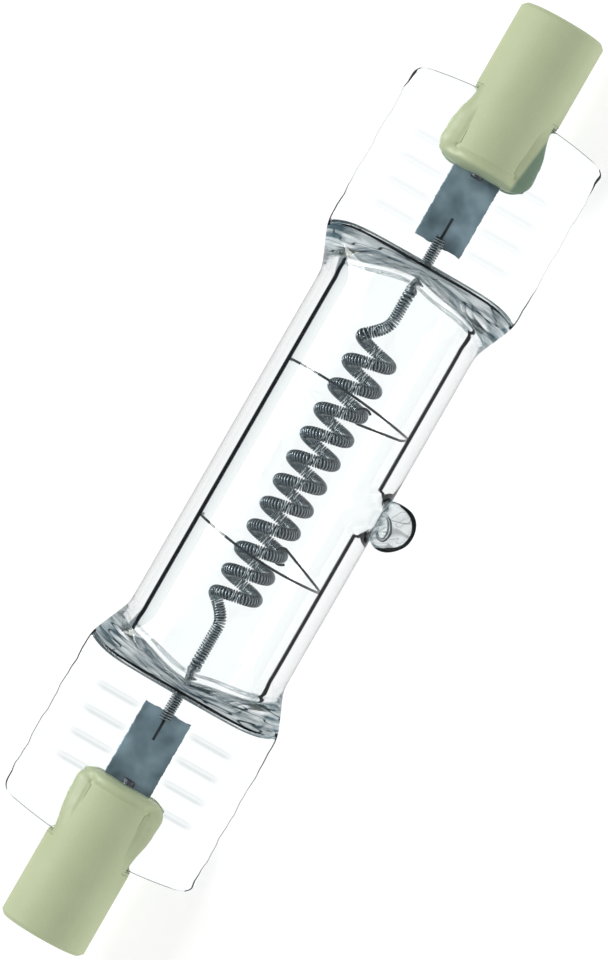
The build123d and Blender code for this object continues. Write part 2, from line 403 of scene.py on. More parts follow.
def ring_samples():
    """Sample places round the glass: angles on the tube, and y and z on the flat's edge, matched one to one.

    The edge with the tip is sampled more finely.
    """
    arc = FLAT_EDGE_R * pi / 2
    straight = FLAT_THICK - 2 * FLAT_EDGE_R
    inner = FLAT_HALF - FLAT_EDGE_R
    angles, ys, zs = [], [], []
    for side, count in EDGE_STEPS.items():
        middle = 90 - 90 * side
        share = np.arange(count) / count
        run = share * (2 * arc + straight) - arc
        turn = (np.clip(run, -arc, 0) + np.clip(run - straight, 0, arc)) / FLAT_EDGE_R
        angles.append(radians(middle - EDGE_ARC / 2) + share * radians(EDGE_ARC))
        ys.append(side * (inner + FLAT_EDGE_R * np.cos(turn)))
        zs.append(side * (np.clip(run, 0, straight) - straight / 2 + FLAT_EDGE_R * np.sin(turn)))
        share = np.arange(FACE_STEPS) / FACE_STEPS
        angles.append(radians(middle + EDGE_ARC / 2) + share * radians(180 - EDGE_ARC))
        ys.append(side * inner * (1 - 2 * share))
        zs.append(np.full(FACE_STEPS, side * FLAT_THICK / 2))
    return np.concatenate(angles), np.concatenate(ys), np.concatenate(zs)


def outer_stations():
    """Places along X on one half, close together at the tip, the shoulder, the ribs and the end."""
    return np.concatenate([
        np.arange(0, FINE_HALF, OUTER_FINE),
        *(np.linspace(*span, endpoint=False) for span in OUTER_SPANS),
        *(np.linspace(rib - RIB_REACH, rib + RIB_REACH, 11) for rib in RIBS),
        np.linspace(*END_SPAN, endpoint=False),
        PRESS_END - np.cos(np.linspace(0, pi / 2, 12)),
    ])


def press_marks(x, y):
    """Strength of the press's cross ribs at a place: narrow humps along X whose ends fade across the lamp."""
    window = smooth((np.abs(y) - RIB_SPAN[0]) / RIB_FADE[0]) * smooth((RIB_SPAN[1] - np.abs(y)) / RIB_FADE[1])
    return window * sum(np.exp(-(((np.abs(x) - rib) / RIB_WIDTH) ** 2)) for rib in RIBS)


def setback(y):
    """How much sooner than in the middle the shoulder ends: a high power of the distance across the lamp."""
    return SHOULDER_SETBACK * np.abs(y / FLAT_HALF) ** SETBACK_CURVE


def round_tip(x, z, mouth, ball_share, waist):
    """Place about the tip's axis: distance, angle, turn down from the ball's top, and share of the stem."""
    reach = np.hypot(x - TIP_X, z)
    q = np.clip(reach / mouth, 1e-6, 1)
    turn = np.clip(q / ball_share, 0, 1) * waist
    return reach, np.arctan2(z, x - TIP_X), turn, np.clip((q - ball_share) / (1 - ball_share), 0, 1)


def pull_tip(points):
    """Pulls the tube wall out into the exhaust tip: rings about its axis run up a foot, a waist and a ball.

    The ball is slightly uneven, as quartz that was melted off is.
    """
    x, y, z = np.moveaxis(points, -1, 0)
    reach, around, turn, foot = round_tip(x, z, TIP_FOOT_R, TIP_BALL_SHARE, TIP_WAIST)
    swell = 1 + TIP_LUMPS[0] * np.sin(turn) * np.sin(2 * around + 1.2)
    swell += TIP_LUMPS[1] * np.sin(turn) ** 2 * np.sin(3 * turn + 2 * around) * np.cos(3 * around)
    waist_r = TIP_R * sin(TIP_WAIST)
    waist_h = TIP_CENTRE + TIP_R * cos(TIP_WAIST)
    stem = waist_r + (TIP_FOOT_R - waist_r) * foot**TIP_FOOT_CURVE
    scale = np.where(foot > 0, stem, TIP_R * swell * np.sin(turn)) / np.maximum(reach, 1e-6)
    new_z = z * scale
    wall = np.sqrt(np.maximum(TUBE_R**2 - new_z**2, 0))
    ball = TIP_CENTRE + TIP_R * np.cos(turn) * np.where(np.cos(turn) > 0, swell, 1)
    height = np.where(foot > 0, wall + (waist_h - wall) * (1 - foot) ** 3, ball)
    moved = places(TIP_X + (x - TIP_X) * scale, -height, new_z)
    return np.where(((reach < TIP_FOOT_R) & (y < 0))[..., None], moved, points)


def glass_outside():
    """Outer wall: the tube's circle turns into the flat's rounded slab.

    Across the lamp the sides flare outwards in a straight ramp. The height falls as a power of the distance,
    so the shoulder is a dome that ends on the flat in a tight hollow, a little sooner at the edges. The end
    is bowed, its corners are rounded, and low ribs cross both faces.
    """
    angle, flat_y, flat_z = ring_samples()
    x = outer_stations()[:, None]
    flare = soft_ramp((x - FLARE[0]) / (FLARE[1] - FLARE[0]), FLARE_FIRM)
    run = np.maximum((x + setback(flat_y) - SHOULDER[0]) / (SHOULDER[1] - SHOULDER[0]), 0)
    drop = 1 - np.logaddexp(0, DROP_FIRM * (1 - run**SHOULDER_CURVE)) / DROP_FIRM
    y = TUBE_R * np.cos(angle) * (1 - flare) + flat_y * flare
    z = TUBE_R * np.sin(angle) * (1 - drop) + flat_z * drop
    wavy = waves(SIDE_WAVES, x, np.sign(flat_y))
    y = y * (1 + wavy / FLAT_HALF * smooth((x - FLAT_LINE) / 1.5))
    # The shoulder's lower corners stay above the plane that the tube and the tip lie on
    z = np.maximum(z, -(TUBE_R + y * sin(ROLL)) / cos(ROLL))
    # Ribs, and a slow swell of the pressed faces
    on_face = smooth((np.abs(z) - FLAT_THICK / 2 + 0.1) / 0.1) * (x > FLAT_LINE)
    swell = FLAT_SWELL * np.sin(x * 0.9 + y * 0.5) * np.sin(y * 0.8 - x * 0.35 + 1)
    swell = swell * smooth((x - FLAT_LINE) / 2)
    z = z + on_face * (np.sign(z) * RIB_HEIGHT * press_marks(x, y) + swell)
    # Rounded corners in plan, rounded edge, bowed end
    corner = np.clip((x - (PRESS_END - FLAT_CORNER_R)) / FLAT_CORNER_R, 0, 1)
    last = np.clip((x - (PRESS_END - FLAT_EDGE_R)) / FLAT_EDGE_R, 0, 1)
    y = y * (1 - FLAT_CORNER_R / FLAT_HALF * (1 - np.sqrt(1 - corner**2)))
    z = z * (1 - FLAT_EDGE_R / (FLAT_THICK / 2) * (1 - np.sqrt(1 - last**2)))
    bow = FLAT_BOW * np.clip((x - FLAT_BOW_START) / (PRESS_END - FLAT_BOW_START), 0, 1) * (y / FLAT_HALF) ** 2
    rings = places(x - bow, y, z)
    # The end face closes on its middle line
    closing = np.repeat(rings[-1:], 4, axis=0)
    closing[..., 2] *= np.linspace(0.75, 0, 4)[:, None]
    rings = np.concatenate([rings, closing])
    return pull_tip(np.concatenate([rings[:0:-1] * (-1, 1, 1), rings]))


def blow_bubble(rings):
    """Draws the inner wall out behind the tip: a funnel, a neck and a bubble, as in a melted-off tube."""
    x, y, z = np.moveaxis(rings, -1, 0)
    mouth = np.hypot(x - TIP_X, z / FUNNEL_REACH)
    funnel = FUNNEL_DEPTH * np.clip(1 - (mouth / FUNNEL_R) ** 2, 0, 1) ** FUNNEL_CURVE
    wall = np.where(y < 0, funnel, 0) - y
    reach, around, turn, neck = round_tip(x, z, POCKET_MOUTH, POCKET_BALL_SHARE, POCKET_WAIST)
    bottom = BORE_R + FUNNEL_DEPTH
    neck_r = POCKET_R * sin(POCKET_WAIST)
    neck_h = bottom + POCKET_CENTRE + POCKET_R * cos(POCKET_WAIST)
    lumpy = 1 + POCKET_LUMPS * np.sin(turn) * np.sin(2 * around + 0.6)
    stem = neck_r + (POCKET_MOUTH - neck_r) * neck**2
    scale = np.where(neck > 0, stem, POCKET_R * lumpy * np.sin(turn)) / np.maximum(reach, 1e-6)
    ball = bottom + POCKET_CENTRE + POCKET_R * np.cos(turn)
    height = np.where(neck > 0, wall + (neck_h - wall) * (1 - neck) ** 1.5, ball)
    lean = POCKET_LEAN * np.maximum(height - bottom, 0)
    bubble = places(TIP_X + (x - TIP_X) * scale - lean, -height, z * scale)
    return np.where(((reach < POCKET_MOUTH) & (y < 0))[..., None], bubble, places(x, -wall, z))


def glass_inside():
    """Sealed space: the bore widens sideways to a sharp corner and closes in height to a thin edge.

    The edge points outwards at the middle, and shallow folds run beside it.
    """
    fine = pi + np.linspace(-1, 1, BORE_STEPS[0], endpoint=False) * radians(BORE_FINE)
    rest = radians(BORE_FINE - 180) + np.arange(BORE_STEPS[1]) / BORE_STEPS[1] * radians(360 - 2 * BORE_FINE)
    angle = np.concatenate([fine, rest])
    x = [np.arange(0, FINE_HALF, INNER_FINE), np.linspace(FINE_HALF, CAVITY_START, 10, endpoint=False)]
    straight = places(np.concatenate(x)[:, None], BORE_R * np.cos(angle), BORE_R * np.sin(angle))
    share = 1 - (1 - np.linspace(0, 1, WEDGE_STEPS)[:, None]) ** 1.5
    end = CAVITY_END - (CAVITY_END - CAVITY_CORNER[0]) * np.abs(np.cos(angle))
    x = CAVITY_START + (end - CAVITY_START) * share
    widen = soft_ramp((x - CAVITY_FLARE) / (CAVITY_CORNER[0] - CAVITY_FLARE), FLARE_FIRM)
    drop = share**CAVITY_CURVE
    y = np.cos(angle) * (BORE_R + (CAVITY_CORNER[1] - BORE_R) * widen)
    fold = np.sin(2 * pi * (end - x) / FOLD_PITCH + 0.9 * np.sin(1.1 * y))
    fold *= FOLD_DEPTH * smooth((share - 0.55) / 0.25) * smooth((1 - share) / 0.08)
    z = (BORE_R * (1 - drop) * (1 + fold) + WEDGE_HALF * drop) * np.sin(angle)
    wedge = places(x, y, z)
    edge = wedge[-1:] * (1, 1, 0) + (WEDGE_HALF, 0, 0)
    rings = np.concatenate([straight, wedge, edge])
    return blow_bubble(np.concatenate([rings[:0:-1] * (-1, 1, 1), rings]))


def outside_lines(points):
    """From which slant the outer wall is painted dark: on the tip, the flat's rim and foot, not the tube."""
    x, y, z = columns(points)
    along, across = np.abs(x), np.abs(y)
    tip = smooth((-y - TUBE_R - 0.35) / 0.4) * (np.hypot(x - TIP_X, z) < TIP_FOOT_R)
    side = smooth((across - FLAT_HALF + FLAT_EDGE_R) / LINE_SOFT) * (along > FLAT_LINE - 1)
    end = smooth((along + FLAT_BOW * (y / FLAT_HALF) ** 2 - PRESS_END + FLAT_EDGE_R) / LINE_SOFT)
    fade = by_side(x, FLAT_FADE) * smooth((along - FLAT_LINE - FADE_FROM[0]) / FADE_FROM[1])
    fade = fade * smooth((PRESS_END - FADE_TO[0] - along) / FADE_TO[1])
    dash = by_side(x, DASH_DARK) * smooth((along - PRESS_END + DASH_FROM[0]) / DASH_FROM[1])
    fade = fade - dash * smooth((PRESS_END - DASH_TO[0] - along) / DASH_TO[1])
    line = TUBE_DARK + (TIP_DARK - TUBE_DARK) * tip + (FLAT_DARK + fade - TUBE_DARK) * side
    line = line + (END_DARK - line) * end * (across < FLAT_HALF - 1)
    foot = along - FLAT_LINE + setback(y)
    foot = smooth((foot + FOOT_WIDTH) / 0.15) * smooth((LINE_SOFT - foot) / LINE_SOFT) * (1 - side)
    return line + (FOOT_DARK - line) * foot


def inside_lines(points):
    """From which slant the inner wall is painted dark: first behind the tip, then the bore, last the folds."""
    x, y, _ = columns(points)
    fold = smooth((np.abs(x) - CAVITY_CORNER[0] + 0.4) / 0.4)
    pocket = smooth((-y - BORE_R - 1.2) / 0.3) * (np.abs(x - TIP_X) < FUNNEL_R)
    return BORE_DARK + (FOLD_DARK - BORE_DARK) * fold + (POCKET_DARK - BORE_DARK) * pocket


def veil(points):
    """Where the outer wall is slightly grey: the press's ribs and the tip."""
    x, y, z = columns(points)
    tip = smooth((-y - TUBE_R) / 0.5) * (np.hypot(x - TIP_X, z) < TIP_FOOT_R)
    return by_side(x, RIB_VEIL) * press_marks(x, y) + TIP_VEIL * tip


def near_tip(points):
    """Where a point belongs to the tip or its foot, 0 to 1."""
    x, y, z = columns(points)
    reach = smooth((TIP_FOOT_R + 0.15 - np.hypot(x - TIP_X, z)) / 0.4)
    return smooth((-y - TUBE_R + 0.5) / 0.4) * reach * (np.abs(x) < TIP_REGION)


def shoulder_band(points):
    """Share of the way along X from above the cavity's edge, 0, to the flat's line, 1."""
    x, y, _ = columns(points)
    outer = FLAT_LINE - setback(y)
    inner = CAVITY_END - (CAVITY_END - CAVITY_CORNER[0]) * np.abs(y) / CAVITY_CORNER[1]
    return (np.abs(x) - inner) / (outer - inner)


def crease_place(points):
    """Where a point lies in the creases' pattern: across and along the shoulder's band, or about the tip."""
    x, y, z = columns(points)
    tip = np.abs(x) < TIP_REGION
    over = np.where(tip, (x + 0.5 * y) / TIP_FOLD, FOLDS_OVER_BAND * shoulder_band(points) + 7 * np.sign(x))
    along = np.where(tip, (z + 0.7 * y) / TIP_FOLD, y / FOLD_LENGTH)
    return over, along


def haze(points):
    """Where fine folds on the outer wall get painted light and shade: the shoulder's band and corners and,
    faintly, the tip.
    """
    x, y, _ = columns(points)
    band = shoulder_band(points)
    corner = smooth((np.abs(x) - FOLD_PAINT_CORNER[0]) / 1.0) * smooth((np.abs(y) - FOLD_PAINT_CORNER[1]) / 0.6)
    folded = INSIDE_FOLD_PAINT * smooth((band + 0.9) / 0.9) + (BAND_FOLD_PAINT - INSIDE_FOLD_PAINT) * smooth((band + 0.1) / 0.2)
    shoulder = np.maximum(CORNER_FOLD_PAINT * corner, folded) * smooth((1 - band) / 0.06)
    ball = smooth((-y - TUBE_R - 0.05) / 0.3)
    return np.maximum(shoulder, (TIP_FOOT_FOLD_PAINT + (TIP_FOLD_PAINT - TIP_FOOT_FOLD_PAINT) * ball) * near_tip(points))


# Filament and wires


def coil_x(turn):
    """Place along the lamp of a number of large turns: even, but sagging a little to one end midway."""
    return COIL_START + COIL_PITCH * turn - COIL_SAG * np.sin(pi * np.clip(turn / COIL_TURNS, 0, 1))


def arc_between(start, start_way, end, end_way, count):
    """A cubic curve from one place and direction to another."""
    t = np.linspace(0, 1, count)[:, None]
    return (
        start * (2 * t**3 - 3 * t**2 + 1)
        + start_way * (t**3 - 2 * t**2 + t)
        + end * (3 * t**2 - 2 * t**3)
        + end_way * (t**3 - t**2)
    )


def coil_centre():
    """Middle line of the filament: leg on the axis, bend, large turns as a helix about X, bend, leg."""
    turn = np.linspace(0, COIL_TURNS, 3000)
    angle = 2 * pi * turn
    helix = places(coil_x(turn), COIL_R * np.cos(angle), COIL_R * np.sin(angle))
    first = (COIL_START - BEND_LENGTH, 0, 0)
    last = (coil_x(COIL_TURNS) + BEND_LENGTH, 0, 0)
    rise = arc_between(first, BEND_WAYS[0], helix[0], BEND_WAYS[1], 300)
    fall = arc_between(helix[-1], BEND_WAYS[1], last, BEND_WAYS[0], 300)
    left = np.linspace((-STRAND_END, 0, 0), rise[0], 400)
    right = np.linspace(fall[-1], (STRAND_END, 0, 0), 400)
    return np.concatenate([left[:-1], rise, helix[1:-1], fall, right[1:]])


def strand():
    """The filament's fine wire: a small helix round the middle line, its pitch changing from leg to coil."""
    centre = coil_centre()
    off_axis = smooth(np.hypot(centre[:, 1], centre[:, 2]) / COIL_R)
    pitch = LEG_PITCH + (STRAND_PITCH - LEG_PITCH) * off_axis
    wound = np.concatenate([[0], np.cumsum(np.diff(run_along(centre)) / pitch[1:])])
    turns = np.arange(0, wound[-1], 1 / STRAND_STEPS)
    place = np.stack([np.interp(turns, wound, centre[:, i]) for i in range(3)], axis=-1)
    across, up = square_to(place, np.array((1.0, 0.0, -1.0)) / 2**0.5)
    phase = (2 * pi * turns)[:, None]
    out = np.cos(phase) * across + np.sin(phase) * up
    line = place + (ROD_R - STRAND_R) * out
    return wire(line, STRAND_R, out, np.cross(unit(np.gradient(line, axis=0)), out), STRAND_SIDES)


def ring_path(side):
    """A support wire: along the front of the inner wall, bent in at the tip's side, hooked round a turn.

    Along the wall its place follows a parabola through three places: far side, front and the tip's side.
    """
    wall_r = BORE_R - RING_WIRE_R - RING_WALL_GAP
    hook_r = ROD_R + HOOK_GAP + RING_WIRE_R
    bend_centre = wall_r - RING_BEND_R
    front = asin(RING_BEND_R / bend_centre)
    angle = np.linspace(-RING_PAST_TOP, pi - front, 80)
    far, middle, near = RING_WALL_X[side]
    tilt = np.cos(np.clip(angle, 0, pi))
    wall_x = middle + (far - near) / 2 * tilt + ((far + near) / 2 - middle) * tilt**2
    wall = places(wall_x, wall_r * np.cos(angle), wall_r * np.sin(angle))
    turn = np.linspace(pi - front, 3 * pi / 2, 16)[1:]
    bend_x = np.linspace(wall_x[-1], RING_ARM_X[side], 16)[1:]
    bend_y = RING_BEND_R * np.cos(turn) - bend_centre * cos(front)
    bend = places(bend_x, bend_y, RING_BEND_R * np.sin(turn) + bend_centre * sin(front))
    turn_x = coil_x(RING_TURNS[side] + 0.5)
    hook_x = RING_HOOK_SIDE[side] * hook_r
    arm = np.linspace(bend[-1], (turn_x + hook_x, -COIL_R, 0), 14)[1:]
    sweep = np.linspace(0, HOOK_SWEEP, 30)[1:]
    hook = places(turn_x + hook_x * np.cos(sweep), -COIL_R + hook_r * np.sin(sweep), 0)
    return np.concatenate([wall, bend, arm, hook])


def lead_rod(start, end, radius):
    """A straight wire on the axis with rounded ends."""
    dome = LEAD_ROUNDING * radius
    turn = np.linspace(0, pi / 2, 6)
    inset, r = dome * (1 - np.sin(turn)), radius - dome * (1 - np.cos(turn))
    head = np.stack([start + inset, r], axis=-1)[::-1]
    tail = np.stack([end - inset, r], axis=-1)[::-1]
    return revolved([(start, 0), *head, *tail, (end, 0)], 20)


# Foil, cement, contact and bases


def foil_sheet():
    """Sealing foil: a thin lens across, slightly waved, with an uneven edge."""
    x = np.linspace(FOIL_START, FOIL_END, 90)[:, None]
    share = np.linspace(-1, 1, 40)
    y = (FOIL_HALF + waves(FOIL_EDGE_WAVES, x)) * share
    wave = 0.03 * np.sin(x * 1.3 + share * 2) + 0.015 * np.sin(x * 3.1 - share * 5)
    thick = FOIL_HALF_THICK * (1 - share**2) + FOIL_RIM
    z = FOIL_Z + wave
    ends = 0.06 * np.sin(share * 9 + 1) * np.where(x == FOIL_START, 1, 0)
    rings = np.concatenate([places(x + ends, y, z + thick), places(x + ends, y, z - thick)[:, ::-1]], axis=1)
    flat = rings.mean(axis=1, keepdims=True) * (1, 0, 0) + rings * (0, 1, 0) + (0, 0, FOIL_Z)
    return np.concatenate([flat[:1], rings, flat[-1:]])


def ear_foot():
    """Foot of an ear on the flat seen from above: side, rounded corner, front, corner, side."""
    radius = EAR_FOOT_R
    turn = np.linspace(0, pi / 2, 18)
    corner_x = EAR_END + radius * (1 - np.sin(turn))
    corner = np.stack([corner_x, EAR_HALF - radius * (1 - np.cos(turn))], axis=-1)
    side = np.linspace((PRESS_END + COLLAR_PAST_END, EAR_HALF), (EAR_END + radius, EAR_HALF), 40)[:-1]
    front = np.linspace((EAR_END, EAR_HALF - radius), (EAR_END, radius - EAR_HALF), 24)[1:-1]
    upper = np.concatenate([side, corner])
    return np.concatenate([upper, front, upper[::-1] * (1, -1)])


def collar(side, face):
    """Cement brushed round an ear: it grows out of the barrel's surface and runs down to the flat.

    Beside the ear the radius about the lamp's axis swells from the barrel's by a cubic step. In front the
    height falls from the ear's top as a rounded edge. The two are blended round the ear's corners.
    """
    path = ear_foot()
    way = unit(np.gradient(path, axis=0))
    out = np.stack([way[:, 1], -way[:, 0]], axis=-1)
    out *= np.sign(np.sum(out * (path - (PRESS_END, 0)), axis=1, keepdims=True) + 1e-9)
    sideways = (out[:, 1] ** 2)[:, None]
    ending = smooth((path[:, :1] - PRESS_END + COLLAR_TAPER) / COLLAR_TAPER)
    uneven = 1 + waves(COLLAR_WAVES, run_along(path), face)[:, None]
    beside = COLLAR_SIDE[side] * uneven
    beside = beside + (COLLAR_END - beside) * ending
    ahead = COLLAR_FRONT[side] * uneven
    share = np.concatenate([[0], np.linspace(0, 1, 20)])
    rise = smooth(share / COLLAR_RISE)
    skin = COLLAR_SKIN[0] + (COLLAR_SKIN[1] - COLLAR_SKIN[0]) * rise * (1 - ending)
    # Beside the ear
    last_r = np.hypot(EAR_HALF + beside, CEMENT_Z)
    angle = COLLAR_FROM + (np.arctan2(CEMENT_Z, EAR_HALF + beside) - COLLAR_FROM) * share
    radius = BASE_R + skin + (last_r - BASE_R - skin) * smooth(share)
    side_offset, side_height = radius * np.cos(angle) - EAR_HALF, radius * np.sin(angle) - CEMENT_Z
    # In front of it
    front_offset = (COLLAR_INSET + ahead) * share - COLLAR_INSET
    top = np.sqrt(BASE_R**2 - np.minimum(np.abs(path[:, 1:]), EAR_HALF) ** 2) - CEMENT_Z
    falling = np.clip((front_offset + COLLAR_EDGE) / (ahead + COLLAR_EDGE), 0, 1)
    front_height = (top + skin) * np.sqrt(1 - falling**COLLAR_EDGE_CURVE)
    offset = front_offset + (side_offset - front_offset) * sideways
    height = front_height + (side_height - front_height) * sideways
    height = height + COLLAR_CORNER * 4 * sideways * (1 - sideways) * rise * (1 - share)
    height[:, 0] = 0
    plan = path[:, None] + out[:, None] * offset[..., None]
    rings = np.concatenate([plan, face * (CEMENT_Z + height)[..., None]], axis=-1)
    ends = rings.mean(axis=1, keepdims=True) + 0 * rings
    return np.concatenate([ends[:1], rings, ends[-1:]])


def dampness(points):
    """Where the right end's cement gets painted shade: past a line down the ear's side by the tip, partly in
    front.
    """
    x, y, _ = columns(points)
    along = np.abs(x)
    share = (PRESS_END - along) / (PRESS_END - EAR_END)
    line = SHADE_LINE[0] + (SHADE_LINE[1] - SHADE_LINE[0]) * share
    front = SHADE_FRONT * smooth((EAR_END - along) / SHADE_SOFT)
    return np.maximum(smooth((-y - line) / SHADE_SOFT), front) * (x > 0)


def slab(low, high):
    """A plain block between two corners, as four-cornered rings along X that close at both ends."""
    x = np.array([low[0], low[0], high[0], high[0]])
    y = np.array([low[1], high[1], high[1], low[1]])
    z = np.array([low[2], low[2], high[2], high[2]])
    rings = places(x[:, None], y, z)
    rings[[0, -1], :, 1:] = (np.array(low) + high)[1:] / 2
    return rings


def end_wall():
    """Cement between the flat's end and the bottom of the fork: a round disc cut flat above and below."""
    angle = np.linspace(0, 2 * pi, 60, endpoint=False)
    x = np.repeat(END_WALL, 2)[:, None]
    size = np.array([0, 1, 1, 0])[:, None] * END_WALL_R
    return places(x, size * np.cos(angle), np.clip(size * np.sin(angle), -SLOT_HALF, SLOT_HALF))


def filling():
    """Cement inside the fork: a layer on each face of the flat and a wall past its end."""
    start = EAR_END + FILLING_INSET
    return [
        slab((start, -EAR_HALF, CEMENT_Z), (PRESS_END, EAR_HALF, SLOT_HALF)),
        slab((start, -EAR_HALF, -SLOT_HALF), (PRESS_END, EAR_HALF, -CEMENT_Z)),
        end_wall(),
    ]


def contact_button():
    """Contact: a disc with a slightly domed face and a rounded rim."""
    rim_r, dome_r = CONTACT_RIM_R, CONTACT_R - CONTACT_RIM_R
    rim_start = CONTACT_FACE - CONTACT_DOME - rim_r
    rim = [(rim_start + rim_r * sin(t), CONTACT_R - rim_r * (1 - cos(t))) for t in np.linspace(0, pi / 2, 6)]
    dome = [(CONTACT_FACE - CONTACT_DOME * (r / CONTACT_R) ** 2, r) for r in np.linspace(dome_r, 0, 12)[1:]]
    return revolved([(CONTACT_BACK, 0), (CONTACT_BACK, CONTACT_R), *rim, *dome])


def bevelled_base(side, material):
    """A copy of the base's solid with its edges rounded, as pressed and tumbled ceramic has."""
    node = "ceramic_base_" + side
    made = new_object("base_" + side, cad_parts[node].data.copy())
    weld(made.data, 1e-6)
    bevel = made.modifiers.new("rounded edges", "BEVEL")
    bevel.width = BASE_EDGE * MM
    bevel.segments = 3
    bevel.limit_method = "ANGLE"
    bevel.angle_limit = radians(32)
    bevel.harden_normals = True
    place_piece(made, material, "steatite", node)


# Materials


def add(tree, kind, inputs=None, **settings):
    """One shader node with its settings.

    An input is a value, a hex colour, another node's output, or a node, whose first output is meant.
    """
    node = tree.nodes.new("ShaderNode" + kind)
    for name, value in settings.items():
        setattr(node, name, value)
    for name, value in (inputs or {}).items():
        if isinstance(value, bpy.types.Node):
            value = value.outputs[0]
        if isinstance(value, bpy.types.NodeSocket):
            tree.links.new(value, node.inputs[name])
        else:
            node.inputs[name].default_value = linear(value) if isinstance(value, str) else value
    return node


def new_material(name):
    """A material without nodes, and its node tree."""
    material = bpy.data.materials.new(name)
    material.use_nodes = True
    material.node_tree.nodes.clear()
    return material, material.node_tree


def shown(material, shader):
    """A material with a shader as its surface."""
    add(material.node_tree, "OutputMaterial", {"Surface": shader})
    return material


def slant(tree):
    """How far the surface turns from the eye, 0 to 1, measured across the lamp only.

    The tube therefore stays clear when it is seen from an end.
    """
    axis = add(tree, "CombineXYZ", {"X": 1.0})
    away = add(tree, "LayerWeight", {"Blend": 0.5, "Normal": axis}).outputs["Facing"]
    along = add(tree, "Math", {0: 1.0, 1: away}, operation="SUBTRACT")
    along = add(tree, "Math", {0: along, 1: 2.0}, operation="POWER")
    across = add(tree, "Math", {0: 1.0001, 1: along}, operation="SUBTRACT")
    across = add(tree, "Math", {0: across}, operation="SQRT")
    turned = add(tree, "LayerWeight", {"Blend": 0.5}).outputs["Facing"]
    toward = add(tree, "Math", {0: 1.0, 1: turned}, operation="SUBTRACT")
    toward = add(tree, "Math", {0: toward, 1: across}, operation="DIVIDE")
    return add(tree, "Math", {0: 1.0, 1: toward}, operation="SUBTRACT")


def creased(tree, glass, over, along, fold_paint):
    """The glass with creases in the pattern that the marks lay out: painted light and dark folds, thin painted
    dark lines.
    """
    place = add(tree, "CombineXYZ", {"X": over, "Y": along})
    folds = add(tree, "TexNoise", {"Vector": place, "Scale": 1.0, "Detail": 2.0})
    folds = add(tree, "MapRange", {"Value": folds, "From Min": 0.4, "From Max": 0.58})
    line = add(tree, "TexNoise", {"Vector": place, "Scale": 0.8, "Detail": 0.0, "Distortion": 0.5})
    line = add(tree, "Math", {0: line, 1: 0.5}, operation="SUBTRACT")
    line = add(tree, "Math", {0: line}, operation="ABSOLUTE")
    line = add(tree, "MapRange", {"Value": line, "From Min": 0.008, "From Max": 0.028})
    tone = add(tree, "Mix", {"Factor": folds, 6: "627A84", 7: "E2EDF0"}, data_type="RGBA").outputs[2]
    tone = add(tree, "Mix", {"Factor": line, 6: "3A484E", 7: tone}, data_type="RGBA").outputs[2]
    denser = add(tree, "MapRange", {"Value": line, "To Min": 3.2, "To Max": 1.0})
    dense = add(tree, "Math", {0: fold_paint, 1: denser}, operation="MULTIPLY", use_clamp=True)
    return add(tree, "MixShader", {0: dense, 1: glass, 2: add(tree, "BsdfDiffuse", {"Color": tone})})


def fused_quartz():
    """Clear fused quartz, blown and pressed: no colour, mirror-smooth, bends light less than window glass.

    Seen edge-on the wall is painted dark, as shade standing in for the dark surroundings that it refracts
    and reflects: painted dark lines along the bore, the flat's edges and the tip's rim. The press's cross
    ribs are tinted slightly grey, and the shoulder is full of creases with painted light and dark tones.
    """
    material, tree = new_material("fused_quartz")
    names = ("dark_from", "veil", "bore", "crease_over", "crease_along", "haze")
    marks = [add(tree, "Attribute", attribute_name=name).outputs["Fac"] for name in names]
    dark_from, veiled, bore, over, along, fold_paint = marks
    facing = slant(tree)
    # Painted shade: the glass is tinted grey where its wall turns from the eye, on top of the grey at the ribs
    # and the tip
    slanted = add(tree, "MapRange", {"Value": facing, "From Min": 0.36, "From Max": 0.55, "To Max": 0.18})
    grey = add(tree, "Math", {0: veiled, 1: slanted}, operation="MAXIMUM")
    tone = add(tree, "Mix", {"Factor": grey, 6: "FCFEFE", 7: "A9B5B8"}, data_type="RGBA").outputs[2]
    glass = add(tree, "BsdfPrincipled", {
        "Base Color": tone, "Roughness": 0.0, "IOR": 1.458, "Transmission Weight": 1.0,
    })
    # Painted light and shade of the shoulder's and tip's folds, standing in for what the folded glass refracts
    folded = creased(tree, glass, over, along, fold_paint)
    # Painted shade: dark where the wall is edge-on, and a dark line where light inside the wall is trapped at
    # the bore
    past = add(tree, "Math", {0: facing, 1: dark_from}, operation="SUBTRACT")
    edge_on = add(tree, "MapRange", {"Value": past, "From Max": 0.05, "To Max": 0.96})
    off = add(tree, "Math", {0: facing, 1: BORE_LINE_PAINT[0]}, operation="SUBTRACT")
    off = add(tree, "Math", {0: off}, operation="ABSOLUTE")
    painted_bore_line = add(tree, "MapRange", {
        "Value": off, "From Min": BORE_LINE_PAINT[1], "From Max": BORE_LINE_PAINT[2], "To Min": 1.0, "To Max": 0.0,
    })
    within = add(tree, "NewGeometry").outputs["Backfacing"]
    within = add(tree, "Math", {0: within, 1: bore}, operation="MULTIPLY")
    painted_bore_line = add(tree, "Math", {0: painted_bore_line, 1: within}, operation="MULTIPLY")
    rim = add(tree, "Math", {0: edge_on, 1: painted_bore_line}, operation="MAXIMUM")
    dark = add(tree, "BsdfDiffuse", {"Color": "101416"})
    wall = add(tree, "MixShader", {0: rim, 1: folded, 2: dark})
    # Its shadow is faint
    clear = add(tree, "BsdfTransparent", {"Color": "F4F6F6"})
    shadow = add(tree, "LightPath").outputs["Is Shadow Ray"]
    return shown(material, add(tree, "MixShader", {0: shadow, 1: wall, 2: clear}))


